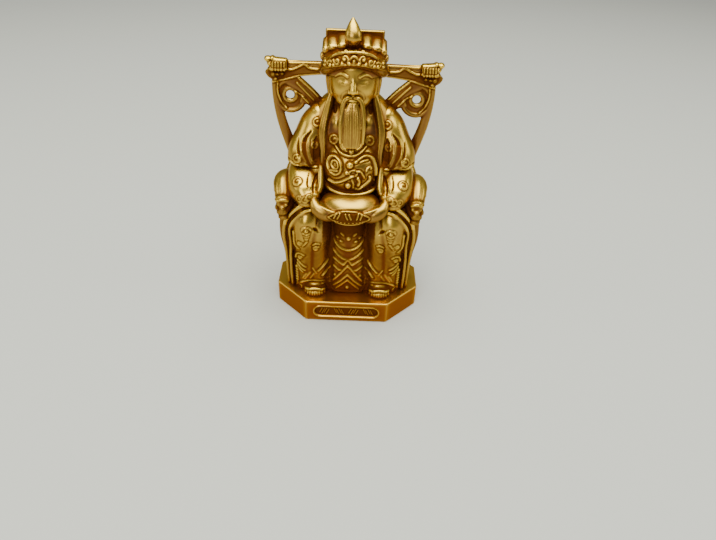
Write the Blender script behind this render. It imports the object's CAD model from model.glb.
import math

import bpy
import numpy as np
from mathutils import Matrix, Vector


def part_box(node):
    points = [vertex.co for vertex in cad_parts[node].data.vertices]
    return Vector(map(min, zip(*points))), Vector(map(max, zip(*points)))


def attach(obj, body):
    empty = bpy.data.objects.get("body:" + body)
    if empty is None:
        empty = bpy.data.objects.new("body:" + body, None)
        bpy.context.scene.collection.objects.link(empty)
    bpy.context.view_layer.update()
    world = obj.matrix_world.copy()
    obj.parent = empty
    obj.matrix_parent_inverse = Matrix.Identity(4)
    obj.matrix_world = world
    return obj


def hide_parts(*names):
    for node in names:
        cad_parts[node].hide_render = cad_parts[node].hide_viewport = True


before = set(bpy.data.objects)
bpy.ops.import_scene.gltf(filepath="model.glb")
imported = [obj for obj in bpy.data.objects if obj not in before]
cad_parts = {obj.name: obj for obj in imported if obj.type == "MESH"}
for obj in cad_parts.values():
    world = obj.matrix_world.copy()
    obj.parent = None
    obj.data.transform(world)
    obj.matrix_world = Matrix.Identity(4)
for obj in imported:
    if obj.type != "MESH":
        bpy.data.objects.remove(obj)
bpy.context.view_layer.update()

# %% [markdown]
# A gilt figure of the god of wealth
#
# The real object is a small casting: a seated figure in court dress, its armchair and its hat are one
# skin of metal, gilt all over, with dark brown left in the recesses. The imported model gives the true
# solids. This lesson rebuilds them as fine surfaces, carves the ornament into those surfaces and
# gives them one gold finish that changes between hollows and edges.

FIGURE_HEIGHT = 0.1107
SHARE = FIGURE_HEIGHT / 100
SHARE_IN_MM = 10 * FIGURE_HEIGHT
PLINTH_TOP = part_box("plinth")[1][2]
OUT, FRONT, UP = np.eye(3)[0], -np.eye(3)[1], np.eye(3)[2]

# %% [markdown]
# The camera
#
# The photograph looks down on the figure from close by, so the hat is large and the feet are small.
# A camera was fitted to the corners of the plinth and the tips of the hat. It stands 25 cm away, looks
# down by 37 degrees and leans a little, as a telephone held in the hand does.

# %% Camera at the photograph's place
CAMERA_PLACE = (0.00244, -0.19647, 0.16137)
LOOK_DOWN = math.radians(37.148)
LOOK_ASIDE = math.radians(0.617)
LEAN = math.radians(2.605)
SENSOR = 36.0
PICTURE_WIDTH, PICTURE_HEIGHT = 716, 540
CLIP_START, CLIP_END = 0.01, 20

camera = bpy.data.objects.new("camera", bpy.data.cameras.new("camera"))
bpy.context.scene.collection.objects.link(camera)
camera.data.sensor_width = SENSOR
# the fitted focal length is as long as the picture is high
camera.data.lens = SENSOR * (PICTURE_HEIGHT / PICTURE_WIDTH)
camera.data.clip_start = CLIP_START
camera.data.clip_end = CLIP_END
camera.rotation_mode = "XYZ"
camera.location = CAMERA_PLACE
camera.rotation_euler = (math.pi / 2 - LOOK_DOWN, 0, -LOOK_ASIDE)
camera.rotation_euler.rotate_axis("Z", LEAN)
bpy.context.scene.camera = camera
print("lens", round(camera.data.lens, 2), "mm")

# %% [markdown]
# Rows, rings and closed skins
#
# Almost every form here is a stack of rings: a leg, a sleeve, a hat roll. A few rows of numbers say
# where the rings are and how wide they are, and a smooth curve runs through the rows. All rings are
# worked out as one array, so nothing loops over corners. Places are in hundredths of the figure's
# height above the plinth, which keeps its proportions readable.

# %% Smooth curves through rows
def clamp(values):
    """Values kept between 0 and 1."""
    return np.clip(values, 0, 1)


def through(rows, t):
    """Cubic pieces through rows of numbers: at each row the slope is half the step between its
    neighbours, and t from 0 to 1 runs from the first row to the last."""
    rows = np.asarray(rows, float)
    last = len(rows) - 1
    k = np.minimum((np.asarray(t) * last).astype(int), last - 1)
    f = (t * last - k)[:, None]
    before, here, there, after = (rows[np.clip(k + step, 0, last)] for step in (-1, 0, 1, 2))
    slope_in, slope_out, rise = (there - before) / 2, (after - here) / 2, there - here
    bend, twist = 3 * rise - 2 * slope_in - slope_out, slope_in + slope_out - 2 * rise
    return here + f * (slope_in + f * (bend + f * twist))


def arch(rows):
    """Rows from one side over the middle to the other, from those that end in the middle: the rest
    are the same rows backwards, with the sign of x turned."""
    rows = np.asarray(rows, float)
    rest = rows[-2::-1].copy()
    rest[:, 0] *= -1
    return np.concatenate([rows, rest])

# %% Rings to a closed skin
def unit(vectors):
    """Vectors divided by their lengths."""
    return vectors / np.maximum(np.linalg.norm(vectors, axis=-1, keepdims=True), 1e-12)


def ring_faces(rings, around, closed=False):
    """Four corner numbers for every face between neighbouring rings, and round each ring."""
    r = np.arange(rings if closed else rings - 1)[:, None]
    a = np.arange(around)[None, :]
    below, above = r * around, (r + 1) % rings * around
    beside = (a + 1) % around
    return np.stack([below + a, below + beside, above + beside, above + a], -1).reshape(-1, 4)


def outward(corners, *face_sets):
    """The same shell with its faces turned so that the volume they enclose is positive."""
    volume = sum((corners[f[:, 0]] * np.cross(corners[f[:, 1]], corners[f[:, -1]])).sum() for f in face_sets)
    turned = [f if volume > 0 else f[:, ::-1] for f in face_sets]
    return corners, *turned


def closed_shell(rings, ends):
    """Rings of corners closed by a fan round one corner at each end, as a shell that points outwards."""
    count, around = rings.shape[:2]
    a = np.arange(around)
    b = (a + 1) % around
    first, top = np.full(around, count * around), (count - 1) * around
    fans = np.concatenate([np.stack([first, b, a], -1), np.stack([first + 1, top + a, top + b], -1)])
    return outward(np.concatenate([rings.reshape(-1, 3), ends]), ring_faces(count, around), fans)


def skin(middle, side, front, around, squareness=2, fold=None):
    """A closed surface over rings. At angle u a ring's corner is middle + side * cos(u)^(2/squareness)
    + front * sin(u)^(2/squareness), times 1 + fold. One corner closes each end."""
    u = 2 * np.pi * np.arange(around) / around
    cos, sin = (np.sign(w) * np.abs(w) ** (2 / squareness) for w in (np.cos(u), np.sin(u)))
    t = np.linspace(0, 1, len(middle))
    size = 1 + (fold(u[None, :], t[:, None]) if fold else np.zeros((len(t), around)))
    ring = cos[:, None] * side[:, None] + sin[:, None] * front[:, None]
    return closed_shell(middle[:, None] + size[..., None] * ring, middle[[0, -1]])

# %% Rounded ends
# the share of a quarter turn at which a rounded end starts, and its number of rings
CAP_START, CAP_RINGS = 0.12, 7


def with_ends(middle, side, front, tangent, roundness):
    """Adds rings that close the two ends, each flat or rounded over a share of its half width."""
    parts = [(middle, side, front)]
    for end, direction, share in ((0, -1, roundness[0]), (-1, 1, roundness[1])):
        if share == 0:
            continue
        angle = np.linspace(CAP_START, 1, CAP_RINGS)[:, None] * np.pi / 2
        reach = direction * share * min(np.linalg.norm(side[end]), np.linalg.norm(front[end]))
        places = middle[end] + reach * np.cos(angle) * tangent[end]
        caps = (places, side[end] * np.sin(angle), front[end] * np.sin(angle))
        if end == 0:
            parts.insert(0, tuple(cap[:-1] for cap in caps))
        else:
            parts.append(tuple(cap[::-1][1:] for cap in caps))
    return [np.concatenate(column) for column in zip(*parts)]

# %% Columns, limbs, lumps and hoops
def column(sections, squareness=2, roundness=(0, 0), around=96, along=60, fold=None):
    """A body through level sections: height, x, y, half width, half depth."""
    z, x, y, width, depth = through(sections, np.linspace(0, 1, along + 1)).T
    zero = np.zeros_like(z)
    middle, side, front = (np.stack(c, -1) for c in ((x, y, z), (width, zero, zero), (zero, depth, zero)))
    tangent = np.tile(UP, (len(z), 1))
    return skin(*with_ends(middle, side, front, tangent, roundness), around, squareness, fold)


def limb(sections, hint, roundness=(0.8, 0.8), around=48, along=60, fold=None, squareness=2):
    """A limb along a path of sections: x, y, z, half width, half thickness. The width lies across
    the path and level with the hint, and the thickness stands on it."""
    t = np.linspace(0, 1, along + 1)
    rows = through(sections, t)
    step = 1e-3
    ahead, behind = through(sections, np.minimum(t + step, 1)), through(sections, np.maximum(t - step, 0))
    tangent = unit(ahead[:, :3] - behind[:, :3])
    side = unit(np.cross(hint, tangent))
    front = np.cross(tangent, side) * rows[:, 4:5]
    parts = with_ends(rows[:, :3], side * rows[:, 3:4], front, tangent, roundness)
    return skin(*parts, around, squareness, fold)


def lump(middle, radii, lean=0, around=40, along=24):
    """An egg: the unit ball stretched by three radii and leaned about x by some degrees."""
    v = np.linspace(0.03, 0.97, along) * np.pi
    ring = np.sin(v)[:, None]
    level = -np.cos(v)[:, None] * UP
    level[0, 2], level[-1, 2] = -1, 1
    corners, *faces = skin(level, ring * OUT, ring * np.eye(3)[1], around)
    sin, cos = math.sin(math.radians(lean)), math.cos(math.radians(lean))
    return outward(corners * radii @ np.array([[1, 0, 0], [0, cos, sin], [0, -sin, cos]]) + middle, *faces)


def hoop(places, width, thickness, hint, around=24):
    """A closed ring through places, its width across the path and its thickness on the hint."""
    tangent = unit(np.roll(places, -1, 0) - np.roll(places, 1, 0))
    side = unit(np.cross(hint, tangent))
    stand = np.cross(tangent, side)
    u = (2 * np.pi * np.arange(around) / around)[:, None]
    corners = places[:, None] + width * np.cos(u) * side[:, None] + thickness * np.sin(u) * stand[:, None]
    return outward(corners.reshape(-1, 3), ring_faces(len(places), around, closed=True))


def mirrored(shell):
    """The shell on the other side of the middle plane, its faces turned back outwards."""
    corners, *faces = shell
    return outward(corners * [-1, 1, 1], *faces)


def both(*shells):
    """Each shell and its mirror image."""
    return [form for shell in shells for form in (shell, mirrored(shell))]

# %% [markdown]
# Casting the forms together
#
# A caster's wax is one skin. Here the closed forms of a piece are first laid over one another and
# then skinned by a voxel remesh, which leaves one closed surface with soft creases where forms meet,
# just as wax does. A little relaxing takes the grid's steps away. Joining with booleans would leave
# knife-sharp creases and uneven faces that can't be carved afterwards.

# %% Mesh from arrays
def make_mesh(name, corners, *face_sets):
    """A mesh from an array of corners and arrays of faces with three or four corners each."""
    mesh = bpy.data.meshes.new(name)
    sizes = np.concatenate([np.full(len(f), f.shape[1]) for f in face_sets])
    loops = np.concatenate([f.ravel() for f in face_sets])
    mesh.vertices.add(len(corners))
    mesh.vertices.foreach_set("co", corners.astype(np.float32).ravel())
    mesh.loops.add(len(loops))
    mesh.loops.foreach_set("vertex_index", loops.astype(np.int32))
    mesh.polygons.add(len(sizes))
    mesh.polygons.foreach_set("loop_start", np.concatenate([[0], np.cumsum(sizes)[:-1]]).astype(np.int32))
    mesh.update(calc_edges=True)
    return mesh

# %% A skin to work on
# how much is given back of what a second smoothing would take away
GIVEN_BACK = 0.52


class Cast:
    """A skin being worked on: its corners in hundredths, its faces and what the carving adds."""

    def __init__(self, corners, quads, fans=None):
        self.corners, self.quads = corners, quads
        self.fans = np.zeros((0, 3), int) if fans is None else fans
        self.dark, self.light, self.rise = np.zeros((3, len(corners)))
        edges = np.concatenate([quads[:, [k, (k + 1) % 4]] for k in range(4)])
        self.edges = np.unique(np.sort(edges, axis=1), axis=0)
        self.degree = np.maximum(np.bincount(self.edges.ravel(), minlength=len(corners)), 1)
        self.normals = self.face_normals()

    def places(self):
        """Each corner's distance from the middle plane, its depth (y) and its height (z)."""
        return np.abs(self.corners[:, 0]), self.corners[:, 1], self.corners[:, 2]

    def face_normals(self):
        """Corner normals: the sum of the cross products of the diagonals of the faces around."""
        p = self.corners[self.quads]
        cross = np.cross(p[:, 2] - p[:, 0], p[:, 3] - p[:, 1])
        at, count = self.quads.ravel(), len(self.corners)
        return unit(np.stack([np.bincount(at, np.repeat(cross[:, k], 4), count) for k in range(3)], -1))

    def average(self, values, times=1):
        """Values mixed half and half with the mean of their neighbours along the edges, over and over."""
        a, b = self.edges.T
        for _ in range(times):
            flat = values.reshape(len(self.corners), -1)
            mean = np.stack([
                np.bincount(a, flat[b, k], len(flat)) + np.bincount(b, flat[a, k], len(flat))
                for k in range(flat.shape[1])], -1) / self.degree[:, None]
            values = (0.5 * flat + 0.5 * mean).reshape(values.shape)
        return values

    def relax(self, times=2):
        """Smooths the skin, and gives back a share of what a second smoothing would take away."""
        for _ in range(times):
            smooth = self.average(self.corners)
            self.corners = smooth + GIVEN_BACK * (smooth - self.average(smooth))
        self.normals = self.face_normals()

# %% Weld the forms of a piece
# widths of the remesh's cells, in hundredths
CHAIR_GRAIN, ROBE_GRAIN, BODY_GRAIN, FINE_GRAIN, HAIR_GRAIN = 0.44, 0.345, 0.26, 0.23, 0.15
pieces = {}


def weld(shells, grain):
    """Closed forms laid over one another, skinned as one by a voxel remesh with cells of one grain."""
    corners, faces, start = [], {3: [], 4: []}, 0
    for shell in shells:
        corners.append(shell[0])
        for face_set in shell[1:]:
            faces[face_set.shape[1]].append(face_set + start)
        start += len(shell[0])
    rough = bpy.data.objects.new("rough", make_mesh(
        "rough", np.concatenate(corners), *(np.concatenate(f) for f in faces.values() if f)))
    bpy.context.scene.collection.objects.link(rough)
    remesh = rough.modifiers.new("skin", "REMESH")
    remesh.mode = "VOXEL"
    remesh.voxel_size = grain
    remesh.adaptivity = 0
    evaluated = rough.evaluated_get(bpy.context.evaluated_depsgraph_get())
    mesh = evaluated.to_mesh()
    points = np.empty(3 * len(mesh.vertices), np.float32)
    mesh.vertices.foreach_get("co", points)
    loops = np.empty(len(mesh.loops), np.int32)
    mesh.loops.foreach_get("vertex_index", loops)
    evaluated.to_mesh_clear()
    bpy.data.meshes.remove(rough.data)
    cast = Cast(points.reshape(-1, 3).astype(float), loops.reshape(-1, 4))
    cast.relax()
    return cast


def keep(name, cast):
    """Adds a finished skin to the pieces."""
    pieces[name] = cast
    print(name, len(cast.quads), "faces")

# %% [markdown]
# Carving
#
# Ornament on the casting is low relief: raised lines with a dark groove on each side, coins with a
# curl in them, rows of beads. Each is a distance. A corner that lies within a line's half width is
# pushed out along its normal, one just beyond it is pushed in and marked dark. Lines are given as
# they are seen from the front, so they lie on whatever form is there.

# %% Distances
def smooth_line(points):
    """A smooth row of places through points, twelve to each stretch."""
    return through(points, np.linspace(0, 1, 12 * (len(points) - 1) + 1))


def nearest(places, line):
    """The shortest distance from each place to a row of straight pieces, and how far along the row
    its foot lies, from 0 to 1."""
    least, along = np.full(len(places), np.inf), np.zeros(len(places))
    for k, (start, end) in enumerate(zip(line[:-1], line[1:])):
        run = end - start
        t = np.clip(((places - start) @ run) / max(run @ run, 1e-12), 0, 1)
        gap = places - start - t[:, None] * run
        square = (gap * gap).sum(1)
        along = np.where(square < least, (k + t) / (len(line) - 1), along)
        least = np.minimum(least, square)
    return np.sqrt(least), along


def facing(cast):
    """How far each corner faces the front: 0 where its normal's y is above -0.1, 1 below -0.35."""
    return clamp((-cast.normals[:, 1] - 0.1) * 4)


def close_by(cast, line, reach, both_sides=True):
    """Numbers of the corners that face the front within a reach of the box round a line of the front
    view, and their places in that view: x and z, with x unsigned where both sides are alike."""
    x = np.abs(cast.corners[:, 0]) if both_sides else cast.corners[:, 0]
    places = np.stack([x, cast.corners[:, 2]], -1)
    inside = ((places > line.min(0) - reach) & (places < line.max(0) + reach)).all(1)
    where = np.flatnonzero(inside & (cast.normals[:, 1] < -0.05))
    return where, places[where]

# %% Raised lines
def stroke(cast, points, width, rise, both_sides=True, smooth=True, groove=0.4, mask=None):
    """A raised line through points [x, z] of the front view: inside the width the skin rises by rise *
    (1 - (gap / width)^2)^1.5. Beyond it the skin dips by a share of that, most at 1.35 widths, and
    darkens. Only corners that face the front take part."""
    line = smooth_line(points) if smooth else np.asarray(points, float)
    where, places = close_by(cast, line, 2.2 * width, both_sides)
    if mask is not None:
        where, places = where[mask[where]], places[mask[where]]
    gap, high = nearest(places, line)[0] / width, rise * facing(cast)[where]
    inside = clamp(1 - gap ** 2) ** 1.5
    beyond = clamp(1 - np.abs(gap - 1.35) / 0.75) * (inside == 0)
    before = cast.rise[where]
    risen = np.where(inside > 0, np.maximum(before, high * inside), np.maximum(before, 0))
    cast.rise[where] = risen - groove * high * beyond
    cast.dark[where] = np.maximum(cast.dark[where] * (1 - inside), beyond)


def strokes(cast, width, rise, *lines, **details):
    """Raised lines of one width and rise."""
    for points in lines:
        stroke(cast, points, width, rise, **details)

# %% Hollows and beads
def hollow(cast, points, width, depth):
    """A leaf-shaped hollow along points of the front view: its half width is width * (0.2 + 0.8 *
    sin(pi * along)), its floor is round, and its lips stand up a little."""
    line = smooth_line(points)
    where, places = close_by(cast, line, 2 * width)
    gap, along = nearest(places, line)
    share = gap / (width * (0.2 + 0.8 * np.sin(np.pi * np.clip(along, 0.02, 0.98))))
    inside = clamp(1 - share ** 2)
    lips = clamp(1 - np.abs(share - 1.25) / 0.4)
    cast.rise[where] += (0.2 * lips - inside) * depth * facing(cast)[where]
    cast.dark[where] = np.maximum(cast.dark[where] * (1 - 0.5 * lips), clamp(1.6 * inside))


def beads(cast, points, radius, rise, both_sides=True):
    """Round beads at points of the front view, each with a dark ring at 1.25 times its radius."""
    for point in np.asarray(points, float):
        where, places = close_by(cast, point[None], 2 * radius, both_sides)
        gap = np.linalg.norm(places - point, axis=1) / radius
        bead = np.sqrt(clamp(1 - gap ** 2))
        cast.rise[where] = np.where(bead > 0, rise * bead, cast.rise[where])
        cast.dark[where] = np.maximum(cast.dark[where] * (bead == 0), clamp(1 - np.abs(gap - 1.25) * 3))

# %% Coins
def landing(cast, x, z):
    """The frontmost corner of the skin within half a unit of a place of the front view."""
    near = np.flatnonzero(np.abs(cast.corners[:, [0, 2]] - [x, z]).max(1) < 0.5)
    return cast.corners[near[cast.corners[near, 1].argmin()]]


def coin(cast, x, z, radius):
    """A coin with a rim and a curl in it, laid on the skin: r is the distance from its middle in radii
    and u the angle round it, and the curl is a ridge where u - 2 pi r is a whole number of turns."""
    for side in (-1, 1):
        middle = landing(cast, side * x, z)
        offset = cast.corners - middle
        away = np.linalg.norm(offset, axis=1)
        normal = unit(cast.normals[away < radius].sum(0))
        across = unit(np.cross(UP, normal)) * side
        up = np.cross(normal, across) * side
        where = np.flatnonzero((away < 1.6 * radius) & (cast.normals @ normal > 0.2))
        u, v = offset[where] @ across, offset[where] @ up
        r, angle = np.hypot(u, v) / radius, np.arctan2(v, u)
        rim = clamp(1 - (np.abs(r - 0.86) / 0.17) ** 2)
        curl = (0.5 + 0.5 * np.cos(angle - 2 * np.pi * r)) ** 2 * (r < 0.68)
        disc = 1 / (1 + np.exp((r - 1.04) * 22))
        relief = radius * (0.12 * disc + 0.17 * rim + 0.15 * curl * disc)
        cast.rise[where] = cast.rise[where] * (1 - disc) + relief
        ring, pit = clamp(1 - np.abs(r - 1.2) * 6), clamp(1 - rim - curl) * disc * 0.75
        cast.dark[where] = np.maximum(cast.dark[where] * (1 - disc), np.maximum(ring, pit))

# %% Swells, and pressing the carving in
def swell(cast, x, z, width, height, rise):
    """A soft bump or hollow of both sides at a distance x from the middle and a height z: the rise
    times exp(-(the distance from x / width)^2 - (the distance from z / height)^2)."""
    aside, _, up = cast.places()
    cast.rise += rise * np.exp(-((aside - x) / width) ** 2 - ((up - z) / height) ** 2) * facing(cast)


def press(cast, times=1):
    """Moves the skin by what the carving asked for, and starts afresh for the next carving."""
    cast.corners = cast.corners + cast.normals * cast.average(cast.rise, times)[:, None]
    cast.rise[:] = 0
    cast.normals = cast.face_normals()

# %% [markdown]
# The armchair
#
# Seen from the front only its arms show: two smooth lobes that end in beasts' heads. The rest is a
# plain curved tub with a rolled rail. The tub is a column of rounded rectangles, and each head is
# built up from lumps as a modeller adds pellets of wax: brow, eyes, snout and jaw.

# %% Armchair forms
def beast_head():
    """Pellets from the brow down to the jaw, on the end of the right arm."""
    return [lump(middle, radii) for middle, radii in (
        ([23.6, -11.6, 40.6], [2.9, 1.9, 1.5]), ([23.6, -12.6, 38.2], [1.3, 2.1, 1.3]),
        ([22.2, -12.9, 39.5], [0.85, 0.85, 0.8]), ([24.9, -12.8, 39.5], [0.85, 0.85, 0.8]),
        ([23.6, -13.3, 36.7], [2.1, 1.7, 1.1]), ([22.6, -14.5, 36.9], [0.65, 0.5, 0.5]),
        ([24.5, -14.5, 36.9], [0.65, 0.5, 0.5]), ([23.4, -12.6, 34.3], [2.1, 1.9, 1.05]),
        ([21.6, -11.6, 37.4], [1, 1.5, 1.2]), ([25.6, -11.4, 37.4], [1, 1.5, 1.2]),
        ([21.5, -10.6, 35], [0.9, 1.4, 1.1]), ([25.4, -10.4, 35], [0.9, 1.4, 1.1]))]


seat = column([
    [-0.2, 0, 2.6, 24.4, 11.4], [8, 0, 2.6, 25.2, 11.6], [14, 0, 2.6, 25.9, 11.7], [20, 0, 2.6, 27, 11.7],
    [27, 0, 2.8, 26.8, 11.5], [34, 0, 3.2, 25, 11], [41, 0, 4.6, 23, 9.4], [50, 0, 6.8, 18.6, 7.2],
], squareness=3.6, around=240)
arm = limb([
    [22.6, 6.5, 40, 2.6, 3], [22.7, 1, 43.4, 2.8, 4.4], [22.7, -4, 43.4, 2.8, 5],
    [22.8, -8.5, 40, 2.8, 4], [23, -11, 36.5, 2.5, 2.8],
], OUT, roundness=(0, 0.5), around=120, fold=lambda u, t: 0.05 * np.cos(16 * u) * clamp(3 * t - 1))
rail = limb(arch([
    [-23, 6.5, 38.6, 3.2, 2.6], [-20, 11.4, 46, 2.4, 2.4], [-11, 13.2, 51, 2.2, 2.2],
    [0, 13.6, 52.6, 2.2, 2.2],
]), UP, roundness=(0, 0), along=160)
armchair = weld([seat, rail, *both(arm, *beast_head())], CHAIR_GRAIN)

# %% Armchair ornament
aside, depth, height = armchair.places()
on_beast = (depth < -9) * clamp((41 - height) / 3)
inner_side = clamp((22.6 - aside) / 2)
tub_side = clamp((36 - height) / 4) * (depth < 4)
armchair.dark = 0.3 + 0.3 * np.maximum(on_beast, np.maximum(inner_side, tub_side))
stroke(armchair, [[21.4, 40.6], [23.6, 41.4], [25.8, 40.5]], 0.4, 0.4)
stroke(armchair, [[21.9, 35.4], [23.5, 35.1], [25.2, 35.4]], 0.3, -0.5)
beads(armchair, [[22.2, 39.5], [24.9, 39.5]], 0.35, 0.25)
press(armchair)
keep("armchair", armchair)

# %% [markdown]
# The robe below the lap
#
# Two legs push the cloth out, an apron hangs between them, and a long hem runs from each knee to the
# plinth as a double ridge. The cloth is taut, so upright columns stand for it better than a cloth
# simulation would. It is covered with raised lines: swags and chevrons on the apron, a jewel and
# curls on each knee, waves by the feet and a row of beads along the outer edge.

# %% Robe forms
leg = column([
    [-0.2, 14.6, -5.4, 6.1, 6.7], [5, 14.8, -5.6, 5.9, 6.9], [11, 15.5, -5.9, 5.1, 7.3],
    [20, 15.5, -6.8, 5.3, 8.1], [28, 15.3, -7.8, 5.5, 9.2], [34, 15.1, -8, 5.4, 9.2],
    [39.6, 14.6, -7, 4.6, 7.2],
], squareness=2.1, roundness=(0, 0.5), fold=lambda u, t: -0.012 * np.cos(9 * u + 5 * t) * (1 - t))
curtain = column([
    [-0.2, 0, -1.2, 18, 9.8], [10, 0, -1.2, 18, 9.9], [22, 0, -1, 17, 10], [30, 0, 0, 15, 9.2],
    [35, 0, 1, 13, 7.6],
], squareness=3.4, around=160)
flap = column([
    [-0.2, 17.4, -0.6, 5.7, 8], [8, 17.6, -0.6, 5.8, 8.2], [20, 18.3, -1, 6, 8.6], [31, 17.2, -2.6, 6, 9.8],
    [38.5, 14.6, -4.6, 5.4, 10.2],
], squareness=3.6)
between = column([
    [-0.2, 12, -4, 5.4, 8.3], [10, 12, -4.4, 5.5, 8.6], [20, 12, -5, 5.8, 9.4],
    [28, 12, -5.6, 5.8, 10.2], [34, 11.8, -5.2, 5, 9], [38, 11.4, -4.6, 4, 6.4],
], squareness=2.3)
apron = column([
    [-0.2, 0, -3.2, 7.5, 9.2], [6, 0, -3.2, 7.2, 9], [20, 0, -3, 6.6, 9.2], [30, 0, -1.8, 6.6, 8.8],
    [37, 0, -0.4, 6.8, 7],
], squareness=4.4)
swag = lump([0, -6.2, 27], [7.4, 6, 11], around=72, along=48)
boot = column([
    [-0.2, 12.5, -10.3, 4.3, 5.3], [1.3, 12.5, -10.3, 4.4, 5.4], [2.6, 12.5, -10, 4.25, 5.1],
    [3.6, 12.5, -9.4, 3.7, 4.2],
], squareness=2.3, roundness=(0, 0.6), along=90)
outer_hem = limb([
    [11, -16.2, 43.4, 0.6, 0.7], [13.8, -15.5, 41.8, 0.7, 0.7], [17.9, -14.4, 39.2, 0.8, 0.8],
    [21.8, -12.4, 34.2, 0.8, 0.8], [23.4, -10.4, 29.6, 0.8, 0.8], [24.1, -9.2, 24, 0.8, 0.8],
    [23.6, -8.2, 17, 0.8, 0.8], [23.3, -7.6, 8.8, 0.8, 0.8], [23.1, -7.2, 0.3, 0.8, 0.8],
], OUT, around=20, along=120)
inner_hem = limb([
    [13.4, -16, 39.4, 0.6, 0.6], [15.8, -15.4, 38.1, 0.65, 0.65], [19.4, -13.8, 33.8, 0.7, 0.7],
    [21.5, -11.6, 28.4, 0.7, 0.7], [21.4, -10.6, 22, 0.7, 0.7], [21.8, -9.8, 14, 0.7, 0.7],
    [21.8, -9.2, 7, 0.7, 0.7], [21.6, -8.8, 0.6, 0.7, 0.7],
], OUT, around=20, along=120)
robe = weld([apron, swag, curtain, *both(leg, between, flap, boot, outer_hem, inner_hem)], ROBE_GRAIN)

# %% Ovals and curls
def oval(x, z, width, height, start=0.0, end=2.0, count=33):
    """Points round an oval, from one angle to another in half turns."""
    angle = np.linspace(start, end, count) * math.pi
    return np.stack([x + width * np.cos(angle), z + height * np.sin(angle)], -1)


def curl_line(x, z, size, turns=1.4, turn=0.0):
    """A spiral from its middle outwards: the radius grows evenly with the angle."""
    t = np.linspace(0, 1, int(26 * turns))
    angle = turn + 2 * np.pi * turns * t
    return np.stack([x + size * t * np.cos(angle), z + size * t * np.sin(angle)], -1)

# %% Apron ornament
aside, depth, height = robe.places()
robe.dark = np.maximum.reduce([
    0.85 * ((aside < 9.5) & (depth < -6)) * clamp((height - 23) / 5),
    0.4 * ((aside > 20.4) & (height < 30)), 0.25 * clamp((28 - height) / 8)])
strokes(robe, 0.42, 0.65, arch([[-5.7, 25], [-4.6, 23], [-2.7, 21.2], [0, 20.3]]),
        arch([[-5.8, 20.4], [-4.3, 18.6], [-2, 16.6], [0, 16]]), both_sides=False)
strokes(robe, 0.38, 0.6, [[0.3, 15.6], [1.6, 13.5], [5.8, 16.6]], [[2.4, 11.2], [3.2, 10.9], [5.6, 13]],
        smooth=False)
strokes(robe, 0.4, 0.6, [[0, 13.1], [5.9, 5.2]], [[0, 8.8], [2.6, 5.8], [6, 2.8]], [[0, 6.3], [4.8, 1.6]],
        smooth=False)
for place, radius in (([0, 2.6], 0.75), ([4.9, 8.5], 0.5), ([0, 25.4], 0.8)):
    beads(robe, [place], radius, 0.6)
strokes(robe, 0.4, 0.45, [[4.8, 26], [3.9, 25.4]], [[3.2, 24.2], [2.3, 23.9]], [[1.8, 26.6], [3, 27.6]])
strokes(robe, 0.46, 0.7, [[7.4, 15.6], [11.2, 10.8]], [[6.6, 12], [9.8, 8.1]], [[6.8, 7.9], [8, 5.9]],
        [[6.2, 4.4], [9.8, 4.2]], smooth=False)

# %% Jewel and curls on the knees
beads(robe, [[15, 31.3]], 0.75, 0.6)
stroke(robe, oval(15, 31.2, 1.7, 1.7, 0.05, 0.95, 11), 0.36, 0.55, smooth=False)
for z, reach in ((29.9, 1.2), (28.7, 0.9), (27.6, 0.6)):
    stroke(robe, [[15 - reach, z + 0.5], [15, z - 0.2], [15 + reach, z + 0.5]], 0.36, 0.55)
hollow(robe, [[12.6, 32.3], [11.8, 31.2], [10.9, 30]], 0.6, 0.5)
stroke(robe, [[20.1, 28.4], [20.1, 24.6], [19.6, 22.4], [18.2, 21.7]], 0.4, 0.55)
for curl in ((17.5, 24.6, 1.3, 1.3, 2.0), (11.8, 22.3, 1.3, 1.3, 0.6), (17.9, 17.2, 1.0, 1.2, 1.2)):
    stroke(robe, curl_line(*curl), 0.4, 0.6, smooth=False)
strokes(robe, 0.42, 0.55, [[16, 24.7], [14.9, 26.4]], [[12.9, 24.2], [11.7, 25], [10.5, 24.6]],
        [[19.8, 15.4], [19.1, 18.2], [17.5, 19.5], [16.3, 18.8]], [[18.9, 15.2], [17.5, 13.9], [15.9, 12.7]],
        [[19.2, 13.3], [17.8, 11.9], [16.3, 10.9]], [[18.6, 11.4], [17.2, 9.8]])

# %% Hem and boots
strokes(robe, 0.3, 0.3, [[15.8, 9.2], [17.4, 6.4]], [[14.2, 10.2], [16.6, 6]], [[12.8, 9.4], [14.4, 6.6]],
        [[13.4, 12.2], [11.8, 9.4]], smooth=False)
stroke(robe, [[8.4, 4.9], [10, 5.5], [12.5, 5.7], [15, 5.5], [17, 4.7], [18.6, 3]], 0.42, 0.45)
stroke(robe, [[6.9, 7], [6.8, 3.2], [6, 1.1], [3, 0.5], [0, 0.4]], 0.4, 0.45)
beads(robe, [[19.5, 1.6 + 1.35 * k] for k in range(8)], 0.6, 0.8)
stroke(robe, oval(18.9, 1.3, 1.1, 1.1), 0.4, 0.5, smooth=False)
BOOT_X = 12.5
on_boot = (np.abs(aside - BOOT_X) < 4.7) & (height < 4) & (depth < -12)
robe.dark[on_boot] = 0.35
strokes(robe, 0.34, 0.42, *([[BOOT_X + 0.93 * k, 0.1], [BOOT_X + 0.9 * k, 2.2]] for k in range(-4, 5)),
        smooth=False, mask=on_boot)
stroke(robe, [[8.8, 2.4], [BOOT_X, 3.1], [16.2, 2.4]], 0.42, 0.5, mask=on_boot)
press(robe)
aside, depth, height = robe.places()
robe.light = 0.2 * clamp((height - 22) / 8) * (aside > 9.5) * facing(robe)
keep("robe", robe)

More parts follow.
